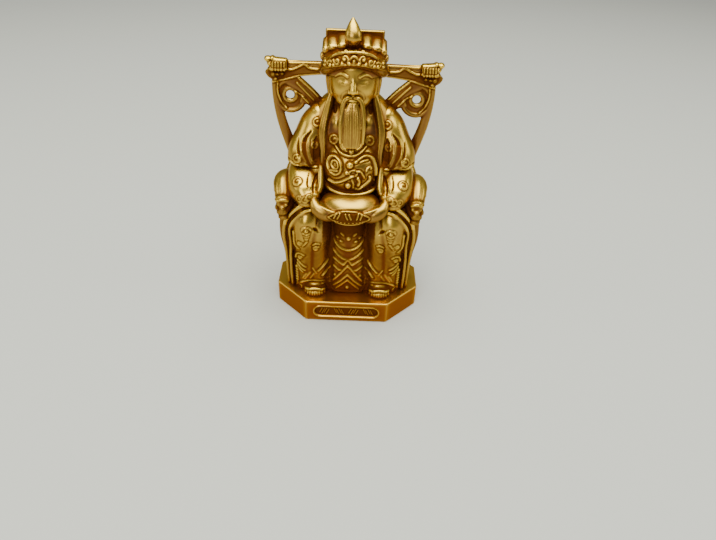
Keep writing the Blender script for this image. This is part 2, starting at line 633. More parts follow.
# %% [markdown]
# Body, collar and the round badge on the belly
#
# The chest is a broad column, the belly a ball, and a narrow lump behind the beard carries it. Turned
# forms are enough here, since hardly any cloth hangs free. The badge is a ring with a curl, an arc, a
# pearl and flames inside it, and a smooth bowl-shaped rim below. A collar falls from the neck on each
# side.

# %% Body forms
trunk = column([
    [32, 0, 1.5, 16, 10.4], [42, 0, 0.6, 15.6, 10.4], [52, 0, 0.2, 14.8, 9.8], [60, 0, 0, 14.6, 9],
    [66, 0, 0.3, 14.2, 8], [70, 0, 0.6, 12.8, 6.8], [73, 0, 0.8, 10.6, 6], [75.8, 0, 0.4, 7.4, 5.2],
], squareness=2.3)
belly = lump([0, -5, 51.4], [10, 10, 12], around=96, along=64)
lapel = limb([
    [6.8, -4.4, 76.2, 1, 0.9], [7.6, -4.9, 73.6, 1.3, 1], [8.7, -5.5, 69.6, 1.4, 1.1],
    [9.6, -6.6, 65, 1.5, 1.1], [9.6, -7.2, 61, 1.5, 1.1], [9.4, -7.6, 56.6, 1.3, 1],
    [9.9, -8, 52, 1.1, 0.9], [9.8, -8.8, 48, 1, 0.8], [9.2, -9.6, 45, 0.8, 0.7],
], FRONT, along=100)
bowl_rim = limb([
    [-9.3, -7.4, 47.6, 0.5, 0.5], [-8.2, -10.4, 46.2, 0.75, 0.7], [-4.6, -13.6, 45.4, 0.8, 0.75],
    [0.3, -14.7, 45.2, 0.8, 0.75], [5.2, -13.6, 45.4, 0.8, 0.75], [8.8, -10.4, 46.2, 0.75, 0.7],
    [9.9, -7.4, 47.6, 0.5, 0.5],
], UP, around=28, along=120)
lap = lump([0, -3.4, 44.4], [12, 8.4, 5.4], around=72, along=48)
chest = lump([0, -7.4, 69], [3, 3.8, 8])
body = weld([trunk, belly, lap, chest, bowl_rim, *both(lapel)], BODY_GRAIN)

# %% Badge
def badge_line(points, width=0.5, rise=0.75, smooth=True):
    """A raised line of the badge, which differs from side to side."""
    stroke(body, points, width, rise, False, smooth)


across, depth, height = body.corners.T
in_badge = (depth < -8) & (np.hypot((across - 0.4) / 8.2, (height - 53) / 5.9) < 1)
body.dark[in_badge] = 0.2
body.light[in_badge] = 0.25
badge_line([[-6, 60.9], [-4.7, 60.1], [-3.7, 59.4], [-2.2, 58.9], [-0.3, 58.7], [1.5, 58.9], [3, 59.5],
            [4.4, 60.4], [5.4, 61.2]])
badge_line(oval(-5.4, 55, 2.25, 2.85), 0.48, 0.9, False)
badge_line(oval(-5.3, 55.3, 1.15, 1.35), 0.34, 0.6, False)
badge_line([[-6.5, 53.3], [-5.4, 53.3], [-4.3, 53.6]], 0.34, 0.6)
badge_line([[1.6, 56.9], [2.6, 57.8], [3.9, 58.4], [5.3, 58.3], [7, 57.1], [7.8, 55.4], [8.3, 53.3],
            [8.5, 50.9]], rise=0.9)
badge_line([[3.1, 56.8], [4.2, 57.1], [5.6, 57.1]], 0.38, 0.55)
badge_line([[5.2, 53.6], [5.6, 54.6], [6.6, 54.7], [6.8, 53.9]], 0.36, 0.6)
badge_line(oval(0.9, 53.4, 1.35, 1.1), 0.36, 0.8, False)
badge_line([[2.2, 54.1], [3.3, 53.8], [4.2, 52.5], [4.6, 51.5]], 0.4, 0.8)
badge_line([[-7.3, 49.4], [-5.6, 49.2], [-4.1, 49.6], [-2.7, 50.4], [-1.6, 51.1], [-0.4, 51.9],
            [0.7, 52.3]], rise=0.9)
badge_line([[2.5, 51.6], [3, 50.2], [2.6, 48.9]], 0.62, 0.9)
badge_line([[1.3, 48], [2.8, 47.3], [4, 48.2], [5.2, 49], [6.3, 50], [6.5, 51.4]], 0.42, 0.75)
badge_line([[0.5, 51.1], [1.1, 49.4], [0.9, 48.1]], 0.38, 0.6)
for x, z, radius in (
        (-0.3, 56, 1.15), (-1.3, 53.4, 0.65), (1.6, 56.9, 0.6), (-0.7, 48.7, 1.05), (8.1, 49.2, 0.45),
        (8, 47.8, 0.45), (0, 59.9, 0.85)):
    beads(body, [[x, z]], radius, 0.95 * radius, False)

# %% Collar and chest
coin(body, 6.3, 62.6, 1.7)
stroke(body, [[6.9, 76.4], [7.6, 73.4], [8.4, 69], [9.2, 64.4], [9.2, 60], [9, 55]], 0.26, 0.18)
swell(body, 5.3, 67.4, 1.3, 1.9, 0.6)
hollow(body, [[5.6, 73], [5.9, 70.4]], 0.7, 0.6)
press(body)
keep("body", body)

# %% [markdown]
# The sleeves
#
# A short wide over-sleeve ends in a ledge above the elbow, with deep folds at its crook. Below it the
# under-sleeve runs forward and ends above the ingot. The folds are hollows between ridges, so they are
# carved after the skin is welded: limbs laid side by side would make sausages of them.

# %% Sleeve forms
upper = limb([
    [10.2, 0.8, 67.2, 5, 5], [12, 0.2, 64, 5.9, 6.1], [14, -1, 60, 5.9, 6.7], [15.8, -2.2, 55.4, 6.2, 7.3],
    [16, -2.6, 52, 6.3, 7.5],
], FRONT, roundness=(0.8, 0), around=96, squareness=2.4)
fore = limb([
    [16.4, -1, 47.4, 5.6, 5.4], [16.4, -6, 46.6, 5.7, 5.6], [15.8, -10, 44.6, 5.5, 5.3],
    [14.4, -13, 43.2, 4.6, 4.4], [13.2, -14.8, 42.8, 3.4, 3.1],
], UP, roundness=(0, 0.5), around=72, squareness=2.5)
crook = lump([11.8, -6.4, 50.4], [2.8, 3.4, 4.6])
hanging = limb([
    [10.6, -5.6, 57, 0.5, 0.5], [10.4, -7.4, 53.6, 1.1, 1.1], [10.2, -9.4, 50, 1.3, 1.4],
    [10.2, -11.2, 47, 1.3, 1.5], [10.8, -12.6, 44.6, 1, 1.2],
], FRONT, roundness=(0.8, 0.5), around=56)
sleeves = weld(both(upper, fore, hanging, crook), BODY_GRAIN)

# %% Folds and coins
aside, depth, height = sleeves.places()
in_folds = (height > 53) & (height < 61) & (aside < 17)
sleeves.dark = 0.4 * in_folds
hollow(sleeves, [[17.9, 61.6], [18, 58.6], [17.2, 56], [15.8, 54.4]], 0.6, 0.6)
hollow(sleeves, [[13.6, 64.2], [15.6, 61.6], [15.9, 57.6], [14.6, 54.2], [13, 52.6]], 0.95, 0.8)
hollow(sleeves, [[11.8, 62.4], [12.3, 59.4], [12.3, 56.6], [11.6, 53.6]], 1.5, 0.55)
strokes(sleeves, 0.2, 0.3, [[14.2, 61.6], [14.2, 58], [13.2, 54.6]], [[17, 60.4], [16.7, 57.6], [15.2, 54.4]],
        groove=0)
stroke(sleeves, [[11.6, 52.6], [15, 52.4], [18.4, 52.9], [21.4, 53.8]], 0.4, 0.3, groove=0.9)
press(sleeves)
hollow(sleeves, [[11.4, 50.4], [12.6, 47.6], [12.4, 45.6]], 0.5, 0.5)
hollow(sleeves, [[14.2, 50.6], [14.6, 48.6], [14, 46.8]], 0.35, 0.3)
press(sleeves)
for x, z, radius in (
        (11.3, 67, 1.55), (12, 60, 1.3), (18.9, 55.8, 1.5), (18.1, 49.2, 1.6), (17.7, 43.5, 1.25),
        (15.6, 44.2, 1.25), (13.4, 45, 1.25)):
    coin(sleeves, x, z, radius)
press(sleeves)
sleeves.light = 0.25 * facing(sleeves) * (1 - in_folds)
keep("sleeves", sleeves)

# %% [markdown]
# The ingot
#
# A shallow boat with its ends swept up and a dome inside, the old shape of cast gold. The hull is a
# column that is bent afterwards: every corner is lifted by the square of its distance from the
# middle, which sweeps the ends up in one go. A lens-shaped panel on its front has a beaded edge and
# short strokes that are not letters.

# %% Ingot forms
INGOT_REACH, INGOT_SWEEP = 12, 1.9
hull = column([
    [36.6, 0, -17, 5.6, 3], [38, 0, -17.4, 8.8, 3.9], [40, 0, -17.6, 10.6, 4.4], [41.8, 0, -17.4, 11, 4.4],
], around=120)
hull[0][:, 2] += INGOT_SWEEP * (hull[0][:, 0] / INGOT_REACH) ** 2
dome = lump([0.2, -13.8, 41.4], [10.4, 7.6, 4.3], around=80, along=48)
horn = limb([
    [4.6, -18, 39.2, 2, 2.4], [8, -18.8, 39.8, 2.4, 2.6], [10.8, -18.2, 41.2, 2.2, 2.3],
    [12, -16.8, 42.8, 1.7, 1.7], [12.1, -15.6, 43.8, 1.1, 1.1],
], UP)
ingot = weld([hull, dome, *both(horn)], FINE_GRAIN)

# %% Ingot ornament
aside, depth, height = ingot.places()
in_lens = (depth < -18) & (np.hypot(aside / 7.2, (height - 39.9) / 3) < 1)
ingot.dark = np.maximum.reduce([
    0.85 * in_lens, 0.22 + 0.6 * clamp((39.8 - height) / 2.4), 0.35 * clamp((aside - 7) / 2)])
lens = [[-7, 39.9], [-4, 41.8], [0, 42.4], [4, 41.8], [7, 39.9], [4, 37.7], [0, 36.9], [-4, 37.7], [-7, 39.9]]
stroke(ingot, lens, 0.36, 0.5, False)
for x, lean in ((-4.7, 0.45), (-3.5, 0.45), (-0.8, -0.4), (0.4, -0.4), (2.9, 0.3), (4.1, 0.3)):
    half = np.array([math.sin(lean), math.cos(lean)])
    stroke(ingot, [[x, 40.7] - half, [x, 40.7] + half], 0.36, 0.6, False, smooth=False)
beads(ingot, oval(0, 38.9, 6, 1.1, 1.06, 1.94, 13), 0.34, 0.3, False)
press(ingot)
keep("ingot", ingot)

# %% [markdown]
# The head
#
# The face is a plain calm one laid out by the drawing-book rule: the eyes at half the height of the
# head, one eye's width between them, the nose to half the way from brow to chin. Sockets, cheeks
# and chin are soft swells, lids and lips are fine strokes. Small lumps in their place would leave
# seams on skin that has to be smooth.

# %% Head forms
EYE_X, EYE_Z = 3.1, 82.0
skull = lump([0, -3.8, 81], [7.8, 7.8, 9.8], around=96, along=64)
jaw = lump([0, -5.6, 76.6], [6, 5.6, 5], around=72, along=48)
neck = column([[68, 0, -1, 5, 5], [78, 0, -1.6, 5, 5]], roundness=(0.5, 0.5))
nose = limb([
    [0, -10.4, 84.6, 0.5, 0.4], [0, -10.9, 83, 0.75, 0.65], [0, -11.4, 81.4, 0.85, 0.8],
    [0, -11.9, 80, 1.05, 0.95], [0, -11.9, 79.4, 1.05, 0.9],
], FRONT, around=40)
nostril = lump([1.15, -11.2, 79.2], [0.7, 0.85, 0.6])
temple = lump([6.7, -4.4, 80.6], [1.4, 2.6, 5.4])
ear = limb([
    [7.2, -2.6, 84.4, 1.6, 1.4], [7.5, -2.4, 81, 1.8, 1.6], [7.2, -2.4, 78, 1.5, 1.6],
    [6.7, -2.6, 74.6, 1.4, 1.5],
], OUT, around=32)
head = weld([skull, jaw, neck, nose, *both(nostril, temple, ear)], FINE_GRAIN)
head.relax(8)
for x, z, width, height, rise in (
        (0, 86.4, 5, 1.5, 0.5), (EYE_X, 82.4, 2.2, 1.2, -0.4), (4.4, 79.2, 2, 1.8, 0.35),
        (0, 75.9, 2.6, 1.7, 0.35), (EYE_X, EYE_Z, 1.5, 0.85, 0.42)):
    swell(head, x, z, width, height, rise)
press(head, 3)

# %% Lids, brows and lips
stroke(head, [[1.9, 83.9], [3.2, 84.5], [4.6, 84.3], [5.8, 83.5]], 0.45, 0.2, groove=0.2)
stroke(head, [[1.6, 81.9], [3.1, 81.4], [4.7, 81.9]], 0.26, -0.42, groove=0)
stroke(head, [[0, 76.35], [0.7, 76.6], [2.1, 76]], 0.34, 0.26, groove=0.2)
stroke(head, [[0, 75.25], [1, 75.3], [1.8, 75.75]], 0.42, 0.34, groove=0.5)
stroke(head, [[2, 79.4], [3.1, 78.4], [3.5, 77]], 0.3, -0.12, groove=0)
press(head, 2)
head.light = 0.45 * facing(head)
keep("head", head)

# %% [markdown]
# Beard and moustache
#
# The beard falls straight over the chest in combed strands. It is a flattened limb whose ring
# swells and shrinks with the angle round it, so every strand runs from the lip to the tip. Separate
# hairs would be thinner than a casting can hold.

# %% Beard forms
def combed(u, t):
    """Strands: three waves round the ring, of 38, 23 and 61 strands, that drift slightly on the way
    down and fade out at the root."""
    waves = 0.085 * np.cos(38 * u + 0.6 * t) + 0.03 * np.cos(23 * u - 0.8 * t) + 0.02 * np.cos(61 * u)
    return waves * clamp(0.7 + 2 * t)


fall = limb([
    [0, -10.8, 75.8, 1.6, 1], [0, -11.5, 73, 2.8, 1.3], [0, -12, 70, 3.2, 1.5], [0, -12.4, 67, 3.3, 1.5],
    [0, -12.7, 64.4, 3.1, 1.35], [0, -12.9, 62.2, 2.5, 1.1],
], FRONT, roundness=(0, 0.9), fold=combed, around=320, along=90, squareness=2.6)
moustache = limb([
    [0.45, -11.2, 77.5, 0.5, 0.45], [1.7, -11.6, 77.5, 0.7, 0.6], [2.9, -11.6, 76, 0.75, 0.65],
    [3.5, -12.2, 72.6, 0.65, 0.7], [3.7, -13.2, 68.4, 0.6, 0.7], [3.6, -13.8, 63.6, 0.45, 0.45],
], FRONT, around=56, along=110, fold=lambda u, t: 0.09 * np.cos(6 * u + 5 * t) + 0.05 * np.cos(9 * u - 7 * t))
beard = weld([fall, *both(moustache)], HAIR_GRAIN)
aside, depth, height = beard.places()
beard.dark = 0.2 * clamp((height - 70) / 5) * (aside < 2.8)
beard.light = 0.2 * facing(beard)
keep("beard", beard)

# %% [markdown]
# The hat
#
# A rolled band rises over the forehead and carries a crescent panel. Behind it stand rounded petals,
# a drop-shaped flame and a flat board that closes the back. The band is a thick hoop through an oval
# whose front is lifted: a ring cut from a tube would lie level and hide the forehead. The board's
# sides are flat, so it is an outline carried sideways.

# %% Band and board
BAND_LOW, BAND_LIFT = 83.6, 5.4
BOARD_HALF = 9.1


def band_line():
    """The middle of the band: an oval that rises in front by the 1.5th power of how far forward it is."""
    angle = np.linspace(0, 2 * np.pi, 121)[:-1]
    forward = np.maximum(0, -np.sin(angle))
    z = BAND_LOW + BAND_LIFT * forward ** 1.5
    return np.stack([9.3 * np.cos(angle), -2.4 + 8.9 * np.sin(angle), z], -1)


def slab(outline, half):
    """A flat-sided body: an outline of y and z carried along x by a half width to either side."""
    rings = np.array([[[x, *point] for point in outline] for x in (-half, half)])
    return closed_shell(rings, rings.mean(1))


crown = column([
    [83, 0, -2, 9, 8], [86.6, 0, -2, 10.3, 8.6], [88.4, 0, -1.6, 10.1, 7.8], [89.6, 0, -1.2, 9.4, 6.2],
], squareness=2.4, roundness=(0, 0.25))
board = slab([
    [-5.6, 86], [8, 86], [5, 91.6], [0.4, 94.7], [-1.2, 95.4], [-1.6, 95], [-1.6, 93.8], [-1.8, 91.8],
    [-2.2, 90], [-3.4, 89],
], BOARD_HALF)
band = hoop(band_line(), 1.9, 2.1, UP, 36)

# %% Petals, flame and panel
def petal(x, drop, radius):
    """A rounded tongue that leans forward over the band."""
    return limb([
        [x, -0.4, 93.2 - drop, 0.8, radius], [x, -2.2, 92.7 - drop, 1, radius],
        [x, -4 + 0.06 * x, 92 - drop, 1.15, radius], [x, -5.8 + 0.1 * x, 91.2 - drop, 1.2, 1.06 * radius],
    ], OUT, roundness=(0.5, 0.95), around=40, along=30)


flame = column([
    [93.2, -0.4, -8.4, 1.7, 1.5], [94.4, -0.4, -8.6, 2.35, 1.9], [96, -0.5, -8.3, 2.4, 1.9],
    [97.7, -0.6, -7.6, 1.7, 1.5], [98.9, -0.7, -6.9, 0.95, 0.9], [99.5, -0.7, -6.7, 0.5, 0.5],
], roundness=(0.6, 0.8))
stem = limb([
    [-0.4, -8, 94.2, 1.5, 1.5], [-0.3, -5.4, 92.4, 1.9, 1.9], [0, -3, 90.6, 2.2, 2.2],
], OUT, around=32)
crest_top = limb(arch([
    [-7.6, -9.6, 87.2, 0.4, 0.4], [-6.8, -10.1, 89.2, 0.5, 0.5], [-4.6, -11.2, 90.7, 0.5, 0.5],
    [0, -12.1, 91.4, 0.5, 0.5],
]), UP, around=16, along=90)
crest_low = limb(arch([
    [-10.2, -7, 85, 0.3, 0.3], [-6.6, -11.2, 86.9, 0.4, 0.4], [0, -13.5, 88.4, 0.45, 0.45],
]), UP, around=16, along=90)
panel = limb(arch([
    [-9.6, -6.2, 86, 1.2, 0.8], [-7, -9.1, 87.9, 1.9, 0.8], [0, -12, 89.8, 2, 0.9],
]), np.array([0, -0.75, 0.66]), around=24, along=90)
leaf = lump([10.1, -4.4, 88], [0.6, 1.1, 1.2], lean=-12)
petals = [petal(3.7, -0.1, 1.6), petal(6.7, 0.5, 1.7), petal(8.8, 1.3, 1.2)]
hat = weld([band, crown, board, flame, stem, crest_top, crest_low, panel, *both(*petals, leaf)], FINE_GRAIN)
hat.relax(3)

# %% Tones of the hat
aside, depth, height = hat.places()
stroke(hat, [[1.4, 94.9], [8.75, 94.9], [8.75, 89]], 0.3, 0.3, smooth=False, groove=0, mask=depth > -2.5)
on_panel = (depth < -6) & (height < 91 - 0.03 * aside ** 2) & (hat.normals[:, 1] < -0.3)
on_panel &= height > 88.5 - 0.035 * aside ** 2
hat.dark[:] = 0.2
hat.dark[on_panel] = 0.6
plate = (depth < 1) & (height > 91) & (height < 95) & (aside > 2.4)
hat.dark[plate] = 0.1 + 0.5 * clamp((depth[plate] + 5.6) / 2.4)
hat.dark[(depth < -6.6) & (height >= 92.6)] = 0
under_flame = (np.hypot(aside, depth + 5) < 3) & (height < 93.6)
hat.dark[under_flame] = 0.7

# %% Lace and scrolls of the panel
lace = on_panel & (aside < 9)
hat.rise[lace] += 0.18 * np.cos(3.4 * aside[lace]) * np.cos(3.4 * height[lace])
stroke(hat, arch([[-1.5, 88.6], [-1.1, 89.7], [0, 90.3]]), 0.42, 0.7, False)
beads(hat, [[0, 89.2]], 0.45, 0.5)
for x, z, size in ((2.7, 89.5, 1.1), (5.1, 88.7, 1.05), (7.3, 87.4, 0.95)):
    stroke(hat, curl_line(x, z, size, 1.2, x), 0.34, 0.5, smooth=False)
beads(hat, [[1.4, 88.5], [3.6, 88.3], [6.2, 87.5], [8.9, 87.6], [9, 86.6]], 0.45, 0.45)
press(hat)
keep("hat", hat)

# %% [markdown]
# Wings and ribbons
#
# The official's hat has two flat wings, and below each hangs an openwork ribbon: a strip down to the
# sleeve, a loop round an eye and a strut to the neck. They are bands with raised edges, so each is a
# flat limb along its own line, and the edges are strokes on the front and the back.

# %% Wing and ribbon forms
EYE_OF_LOOP = np.array([21.2, 73.3])
EYE_RADIUS, LOOP_RADIUS = 1.35, 5.7
BAND_BACK = 1.9


def flat_band(points, widths, thickness=1.0, squareness=3.2):
    """A flat limb through points [x, z] of the front view in the plane of the ribbons."""
    sections = [[x, BAND_BACK, z, width, thickness] for (x, z), width in zip(points, widths)]
    return limb(sections, FRONT, roundness=(0.3, 0.3), around=32, along=90, squareness=squareness)


turns = np.linspace(0, 2 * math.pi, 97)[:-1]


def loop_reach(angle):
    """The outer radius of the loop, which hangs lower than it stands."""
    return LOOP_RADIUS + 0.6 * np.maximum(0, -np.sin(angle)) ** 1.5


def loop_places(radius):
    """Places round the eye of the loop, at one radius or a radius for each angle."""
    x, z = EYE_OF_LOOP[:, None] + radius * np.array([np.cos(turns), np.sin(turns)])
    return np.stack([x, np.full(len(turns), BAND_BACK), z], -1)


web_width = (loop_reach(turns) - EYE_RADIUS) / 2
loop = hoop(loop_places(EYE_RADIUS + web_width), web_width[:, None, None], 0.45, FRONT, 32)
inner_tube = hoop(loop_places(EYE_RADIUS + 0.8), 0.8, 0.85, FRONT)
outer_tube = hoop(loop_places(loop_reach(turns) - 1), 1.0, 1.0, FRONT)
wing = flat_band([[8, 82.7], [12.5, 82.4], [18, 82], [23, 81.3], [26, 81.6], [27.2, 82.6]],
                 [2, 2.1, 2.5, 3.4, 3.6, 2.5], 0.9)
knob = limb([
    [22, 1.4, 83.2, 1.9, 1.5], [24, 1.4, 83.2, 2, 1.7], [26.4, 1.4, 83.4, 2, 1.6],
], FRONT, (0.3, 0.3), squareness=4)
strip = flat_band([[25.2, 80.4], [25.8, 76], [25.4, 70], [23.9, 62.6], [20.8, 53]],
                  [1.6, 1.4, 1.5, 1.7, 2], squareness=2)
strut = flat_band([[22.6, 79.6], [18, 76.6], [13.6, 73], [11, 70.4]], [2.6, 2, 1.9, 1.9])
low_strut = flat_band([[17.4, 72.2], [14.8, 71.2], [12.6, 69.6]], [1.6, 1.3, 1.3])
scrolls = [lump([x, 1.4, z], [width, 1.6, height]) for x, z, width, height in (
    (27.9, 84.8, 1.2, 0.9), (27.2, 83.5, 1.1, 1), (26.7, 81.8, 1.1, 1), (26.3, 80.1, 1, 0.9),
    (25.6, 78.5, 0.9, 0.8), (26.4, 85.2, 0.8, 0.6), (23.4, 80.4, 0.8, 0.6), (24.9, 80.2, 0.8, 0.6))]
web = flat_band([[24.6, 79.6], [25.4, 77.2]], [1.6, 1.2])
bands = (wing, knob, strip, strut, low_strut, loop, inner_tube, outer_tube, web)
wings = weld(both(*bands, *scrolls), FINE_GRAIN)

# %% Lines and knots on both faces of the bands
def on_both_faces(carve, *details, **more):
    """The same carving on the front and, with the normals' y turned, on the back of the bands."""
    for face in (1, -1):
        wings.normals[:, 1] *= face
        carve(wings, *details, **more)
        wings.normals[:, 1] *= face


KNOTS = 22.5 + 0.95 * np.arange(5)
WAVE = np.array([[11, 82], [14.4, 82.4], [16.2, 83.4], [18.4, 82.4], [22, 81.8]])
aside, depth, height = wings.places()
below_wave = clamp((np.interp(aside, *WAVE.T) - height) * 2)
wings.dark = 0.6 * ((aside > 9) & (height > 78.5)) * below_wave
wings.dark = np.maximum(wings.dark, 0.35 * (height < 79))
on_both_faces(strokes, 0.34, 0.45, [[19.6, 74.6], [17.4, 73.4], [14.9, 70.9]],
              [[18.7, 77.6], [15.9, 74.8], [13, 71.8]], [[18.6, 79.4], [14.4, 75.8], [11.6, 73]],
              [[25, 78], [25.2, 74.4], [24.2, 71], [22.4, 68.8]])
on_both_faces(stroke, [[11.6, 82.1], [14.4, 82.4], [16.2, 83.5], [18.4, 82.5], [20.6, 81.7], [22.2, 82.2]],
              0.4, 0.45)
on_both_faces(strokes, 0.3, 0.3, [[10, 84.1], [16, 84], [21, 83.8]],
              [[10, 80.7], [18, 79.8], [23, 78.4], [27, 77.4]], smooth=False)
on_both_faces(beads, [[x + 0.1, 81.8] for x in KNOTS], 0.44, 0.42)
on_both_faces(strokes, 0.3, 0.42, *([[x, 84], [x + 0.05, 82.7]] for x in KNOTS), smooth=False)
press(wings)
keep("wings_and_ribbons", wings)

# %% [markdown]
# The plinth
#
# A low eight-sided slab, machined rather than modelled, so its faces are flat and its edges crisp. A
# voxel skin would blur them. It is a stack of eight-sided outlines instead: their inset follows a
# quarter circle at the top and bottom edge. The front side has a fine grid, and the panel with its
# rim and strokes is pressed into that.

# %% Outline of the slab
PLINTH_LOW, PLINTH_HIGH = (np.array(corner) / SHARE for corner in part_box("plinth"))
CHAMFER, BEVEL, PANEL_RIM, PANEL_DEPTH, PANEL_PROUD = (mm / SHARE_IN_MM for mm in (13.5, 0.6, 0.7, 0.6, 0.35))
PLINTH_FACE = PLINTH_LOW[1] + PANEL_PROUD
HEIGHT = PLINTH_HIGH[2] - PLINTH_LOW[2]
CORNER_STEPS, FRONT_STEPS, SIDE_STEPS = 5, 230, 20


def octagon(inset):
    """Corners of the slab's outline, moved in by an inset. Each corner is a short curve: twice the
    product of t and 1 - t weighs the corner itself, and the squares of them the two points beside."""
    left, right = PLINTH_LOW[0] + inset, PLINTH_HIGH[0] - inset
    front, back = PLINTH_FACE + inset, PLINTH_HIGH[1] - inset
    cut = CHAMFER - inset * (2 - math.sqrt(2))
    turns = np.array([
        [left + cut, front], [right - cut, front], [right, front + cut], [right, back - cut],
        [right - cut, back], [left + cut, back], [left, back - cut], [left, front + cut]])
    ahead = unit(np.roll(turns, -1, 0) - turns)
    t = np.linspace(0, 1, CORNER_STEPS + 1)[:, None]
    line = []
    for k in range(8):
        start, end = turns[k] - 0.5 * ahead[k - 1], turns[k] + 0.5 * ahead[k]
        line.append(start * (1 - t) ** 2 + 2 * turns[k] * t * (1 - t) + end * t ** 2)
        until = turns[(k + 1) % 8] - 0.5 * ahead[k]
        steps = FRONT_STEPS if k == 0 else SIDE_STEPS
        line.append(end + np.linspace(0, 1, steps + 1)[1:-1, None] * (until - end))
    return np.concatenate(line)

# %% Panel on the front
# what the panel leaves free of the front's length and of its height
PANEL_ENDS, PANEL_EDGES = 5.6, 3.5
GROUPS, IN_GROUP, APART = 4, 4, 0.9
STROKE_HALF, STROKE_DEPTH = 0.2, 0.3
RIM_SOFT, STROKE_SOFT = 0.07, 0.05


def stadium(x, z, length, height):
    """The distance from a shape with two straight sides and round ends, negative inside it."""
    reach = (length - height) / 2
    return np.hypot(np.maximum(np.abs(x) - reach, 0), z) - height / 2


def step(distance, softness):
    """From 1 well inside to 0 well outside: 1 / (1 + exp(distance / softness))."""
    return 1 / (1 + np.exp(np.clip(distance / softness, -30, 30)))


def panel_relief(x, z):
    """How far the front face moves back: the rim stands proud of it and the field lies behind it, with
    groups of slanting strokes that lean one way and the other and are not letters."""
    length = PLINTH_HIGH[0] - PLINTH_LOW[0] - 2 * CHAMFER - PANEL_ENDS
    height = HEIGHT - PANEL_EDGES
    rim = stadium(x, z, length, height)
    depth = -PANEL_PROUD * step(rim, RIM_SOFT) * step(-rim - PANEL_RIM, RIM_SOFT)
    depth = depth + PANEL_DEPTH * step(rim + PANEL_RIM, RIM_SOFT)
    field_length, field_height = length - 5 * PANEL_RIM, height - 3 * PANEL_RIM
    places = np.stack([x, z], -1)
    for k in range(GROUPS * IN_GROUP):
        group, place_in = divmod(k, IN_GROUP)
        along = (group - (GROUPS - 1) / 2) * field_length / GROUPS + (place_in - (IN_GROUP - 1) / 2) * APART
        middle = np.array([along, 0.06 * field_height * (-1) ** k])
        run = 0.27 * field_height * np.array([0.45 * (-1) ** group, 1])
        gap = nearest(places, np.stack([middle - run, middle + run]))[0]
        depth = depth - STROKE_DEPTH * step(gap - STROKE_HALF, STROKE_SOFT)
    return depth

# %% Rings of the plinth
LEVELS, BEVEL_RINGS = 66, 6
# insets of the flat rings on the top and the underside
FLAT = [4, 2, 1.2]
quarter = np.linspace(0, math.pi / 2, BEVEL_RINGS + 1)
rounded = BEVEL * (1 - np.sin(quarter[:-1]))
lifted = BEVEL * (1 - np.cos(quarter))
levels = np.linspace(BEVEL, HEIGHT - BEVEL, LEVELS)
inset = np.concatenate([FLAT, rounded, np.zeros(LEVELS), lifted[1:], FLAT[::-1]])
rise = np.concatenate([
    np.zeros(len(FLAT)), lifted[:-1], levels, HEIGHT - BEVEL * (1 - np.sin(quarter[1:])),
    np.full(len(FLAT), HEIGHT)])
outlines = np.stack([octagon(i) for i in inset])
corners = np.concatenate([outlines, np.broadcast_to(rise[:, None, None], (*outlines.shape[:2], 1))], -1)
corners[..., 2] += PLINTH_LOW[2] - PLINTH_TOP / SHARE

# %% Panel pressed into the front
first_level = len(FLAT) + BEVEL_RINGS
at_front = np.s_[first_level:first_level + LEVELS, :CORNER_STEPS + FRONT_STEPS]
level_front = corners[at_front]
relief = panel_relief(level_front[..., 0].ravel(), (level_front[..., 2] + HEIGHT / 2).ravel())
front = np.abs(level_front[..., 1] - PLINTH_FACE) < 1e-6
relief = relief.reshape(front.shape) * front
level_front[..., 1] += relief
dark = np.zeros(corners.shape[:2])
dark[at_front] = clamp(relief / PANEL_DEPTH) * 0.8
plinth = Cast(*closed_shell(corners, corners[[0, -1]].mean(1)))
plinth.dark[:-2] = dark.ravel()
plinth.light = 0.3 * (plinth.normals[:, 2] > 0.9)
print("plinth", len(plinth.quads), "faces,", round(HEIGHT, 3), "high")

# %% [markdown]
# Hollows and edges
#
# Gilding stays bright where hands polish it and keeps a dark wash in the hollows. Ray traced
# occlusion in a material depends on the renderer and is lost when the model is exported, so the
# crowding of each corner is worked out here instead. The whole figure is turned into a grid of
# filled and empty cells, blurred, and read a little above the skin: a corner of a hollow has more
# metal round it than a corner of a ridge.

# %% Filled cells, blurred
import openvdb

CELL = 0.5
GRID_LOW = np.array([-36.0, -30.0, -16.0])
GRID_SIZE = (144, 112, 244)


def filled_cells(casts):
    """1 in each cell inside any of the skins, or below the floor."""
    filled = np.zeros(GRID_SIZE, bool)
    cell_size = openvdb.createLinearTransform(CELL)
    start = tuple(int(round(low / CELL)) for low in GRID_LOW)
    for cast in casts:
        depth = np.full(GRID_SIZE, 1, np.float32)
        level_set = openvdb.FloatGrid.createLevelSetFromPolygons(
            cast.corners.astype(np.float32), quads=cast.quads.astype(np.uint32),
            triangles=cast.fans.astype(np.uint32), transform=cell_size, halfWidth=3.0)
        level_set.copyToArray(depth, ijk=start)
        filled |= depth < 0
    return filled


def blurred(cells, spread):
    """The cells mixed with their surroundings by a bell curve, as a product of their frequencies."""
    x, y = (np.fft.fftfreq(size) for size in GRID_SIZE[:2])
    frequency = sum(axis ** 2 for axis in np.ix_(x, y, np.fft.rfftfreq(GRID_SIZE[2])))
    bell = np.exp(-2 * (math.pi * spread / CELL) ** 2 * frequency)
    return np.fft.irfftn(np.fft.rfftn(cells) * bell, s=GRID_SIZE)


def read(grid, places):
    """Values of a grid at places, each mixed from the eight cells round it by nearness."""
    at = np.clip((places - GRID_LOW) / CELL, 0, np.array(GRID_SIZE) - 1.001)
    low = at.astype(int)
    part = at - low
    total = 0
    for corner in np.ndindex(2, 2, 2):
        weight = np.prod(np.where(corner, part, 1 - part), axis=1)
        total = total + weight * grid[tuple((low + corner).T)]
    return total


